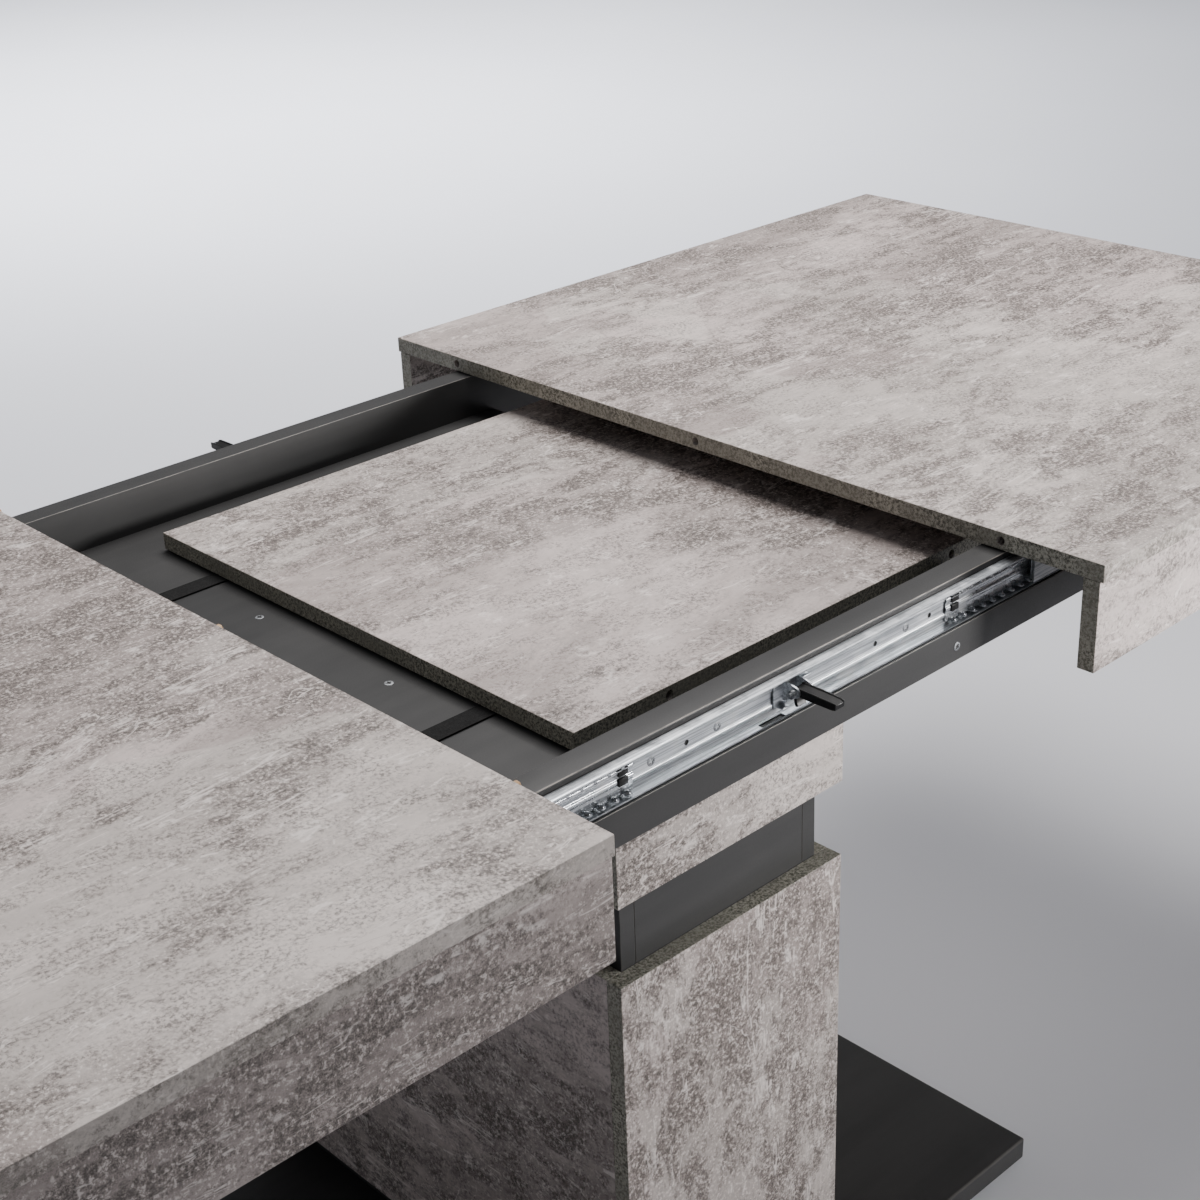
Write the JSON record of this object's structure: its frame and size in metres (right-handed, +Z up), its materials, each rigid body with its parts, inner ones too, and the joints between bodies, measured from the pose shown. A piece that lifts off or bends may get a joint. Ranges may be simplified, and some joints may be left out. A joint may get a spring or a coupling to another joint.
{
  "type": "extendable dining table",
  "caption": "Extendable pedestal dining table whose two concrete-look halves slide apart on ball-bearing rails over a stored leaf.",
  "frame": {"origin": "on the floor under the middle of the table, which is also the middle of the opened gap", "axes": "+X along the way the table extends, towards the back half; +Y across the table, towards its left side; +Z up"},
  "size_m": [2.142, 0.9, 0.76],
  "materials": {
    "concrete_board": "matt concrete-look melamine board",
    "anthracite_board": "satin anthracite board",
    "zinc_steel": "zinc-plated rolled steel",
    "black_plastic": "moulded black plastic",
    "felt": "self-adhesive black felt",
    "beech": "plain beech dowel"
  },
  "bodies": {
    "pedestal": {"base_plate": "anthracite_board", "head_panel": "anthracite_board", "floor_glide_front_left": "black_plastic", "floor_glide_front_right": "black_plastic", "floor_glide_back_left": "black_plastic", "floor_glide_back_right": "black_plastic", "core_board_front": "anthracite_board", "core_board_back": "anthracite_board", "core_board_left": "anthracite_board", "core_board_right": "anthracite_board", "upper_cladding_front": "concrete_board", "upper_cladding_back": "concrete_board", "upper_cladding_left": "concrete_board", "upper_cladding_right": "concrete_board", "lower_cladding_front": "concrete_board", "lower_cladding_back": "concrete_board", "lower_cladding_left": "concrete_board", "lower_cladding_right": "concrete_board", "head_batten_front": "anthracite_board", "head_batten_back": "anthracite_board", "end_crossbar_front": "anthracite_board", "end_crossbar_back": "anthracite_board", "felt_strip_left": "felt", "felt_strip_right": "felt", "rail_left": "anthracite_board", "rail_right": "anthracite_board", "slide_outer_left": "zinc_steel", "slide_outer_right": "zinc_steel", "latch_bracket_left": "zinc_steel", "latch_bracket_right": "zinc_steel"},
    "front_half": {"front_top_board": "concrete_board", "front_end_apron": "concrete_board", "front_side_apron_left": "concrete_board", "front_slide_inner_left": "zinc_steel", "front_mounting_angle_left": "zinc_steel", "front_side_apron_right": "concrete_board", "front_slide_inner_right": "zinc_steel", "front_mounting_angle_right": "zinc_steel", "front_dowel_left": "beech", "front_dowel_middle": "beech", "front_dowel_right": "beech"},
    "back_half": {"back_top_board": "concrete_board", "back_end_apron": "concrete_board", "back_side_apron_left": "concrete_board", "back_slide_inner_left": "zinc_steel", "back_mounting_angle_left": "zinc_steel", "back_side_apron_right": "concrete_board", "back_slide_inner_right": "zinc_steel", "back_mounting_angle_right": "zinc_steel"},
    "front_cage_left": {"front_ball_cage_left": "zinc_steel"},
    "front_cage_right": {"front_ball_cage_right": "zinc_steel"},
    "back_cage_left": {"back_ball_cage_left": "zinc_steel"},
    "back_cage_right": {"back_ball_cage_right": "zinc_steel"},
    "lever_left": {"release_lever_left": "black_plastic"},
    "lever_right": {"release_lever_right": "black_plastic"},
    "leaf": {"leaf_board": "concrete_board", "leaf_dowel_left": "beech", "leaf_dowel_middle": "beech", "leaf_dowel_right": "beech"}
  },
  "joints": [
    {"name": "back_half_slide", "type": "slide", "parent": "pedestal", "child": "back_half", "axis": [1, 0, 0], "range_m": [-0.2708, 0.009]},
    {"name": "front_half_slide", "type": "slide", "parent": "pedestal", "child": "front_half", "axis": [-1, 0, 0], "range_m": [-0.2708, 0.009]},
    {"name": "back_cage_slide_left", "type": "slide", "parent": "pedestal", "child": "back_cage_left", "axis": [1, 0, 0], "range_m": [-0.1354, 0.0045]},
    {"name": "back_cage_slide_right", "type": "slide", "parent": "pedestal", "child": "back_cage_right", "axis": [1, 0, 0], "range_m": [-0.1354, 0.0045]},
    {"name": "front_cage_slide_left", "type": "slide", "parent": "pedestal", "child": "front_cage_left", "axis": [-1, 0, 0], "range_m": [-0.1354, 0.0045]},
    {"name": "front_cage_slide_right", "type": "slide", "parent": "pedestal", "child": "front_cage_right", "axis": [-1, 0, 0], "range_m": [-0.1354, 0.0045]},
    {"name": "lever_hinge_left", "type": "hinge", "parent": "pedestal", "child": "lever_left", "pos_m": [0, 0.3689, 0.7265], "axis": [-1, 0, 0], "range_deg": [0, 12], "stiffness_Nm_per_rad": 0.4, "springref_deg": -20.05},
    {"name": "lever_hinge_right", "type": "hinge", "parent": "pedestal", "child": "lever_right", "pos_m": [0, -0.3689, 0.7265], "axis": [1, 0, 0], "range_deg": [0, 12], "stiffness_Nm_per_rad": 0.4, "springref_deg": -20.05},
    {"name": "leaf_slide", "type": "slide", "parent": "pedestal", "child": "leaf", "axis": [1, 0, 0], "range_m": [-0.6, 0.02]}
  ],
  "couplings": [
    {"joint": "back_cage_slide_left", "follows": "back_half_slide", "ratio": 0.5},
    {"joint": "back_cage_slide_right", "follows": "back_half_slide", "ratio": 0.5},
    {"joint": "front_cage_slide_left", "follows": "front_half_slide", "ratio": 0.5},
    {"joint": "front_cage_slide_right", "follows": "front_half_slide", "ratio": 0.5}
  ]
}
